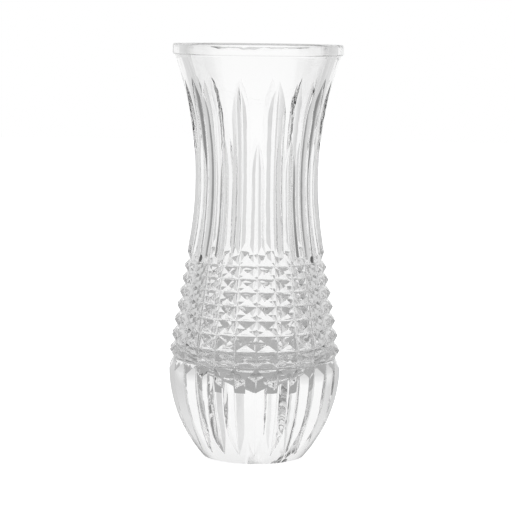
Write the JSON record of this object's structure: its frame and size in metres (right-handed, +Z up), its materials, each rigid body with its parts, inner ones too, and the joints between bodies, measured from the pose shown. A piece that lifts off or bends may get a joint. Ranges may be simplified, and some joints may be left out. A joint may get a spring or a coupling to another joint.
{
  "type": "vase",
  "caption": "Waisted cut-crystal flower vase with a smooth collar at the mouth, a fluted neck, a belt of cut diamonds and a fluted round bowl on a flat foot",
  "frame": {"origin": "centre of the flat foot, on the plane that the vase stands on", "axes": "+Z runs up the vase's own axis to the mouth; a short flute of the neck faces -Y, which is the front, and +X is the viewer's right"},
  "size_m": [0.084, 0.084, 0.203],
  "materials": {
    "crystal": "polished clear crystal"
  },
  "bodies": {
    "root": {"rim_collar": "crystal", "throat": "crystal", "fluted_neck": "crystal", "diamond_belt": "crystal", "fluted_bowl": "crystal", "foot": "crystal"}
  },
  "joints": []
}
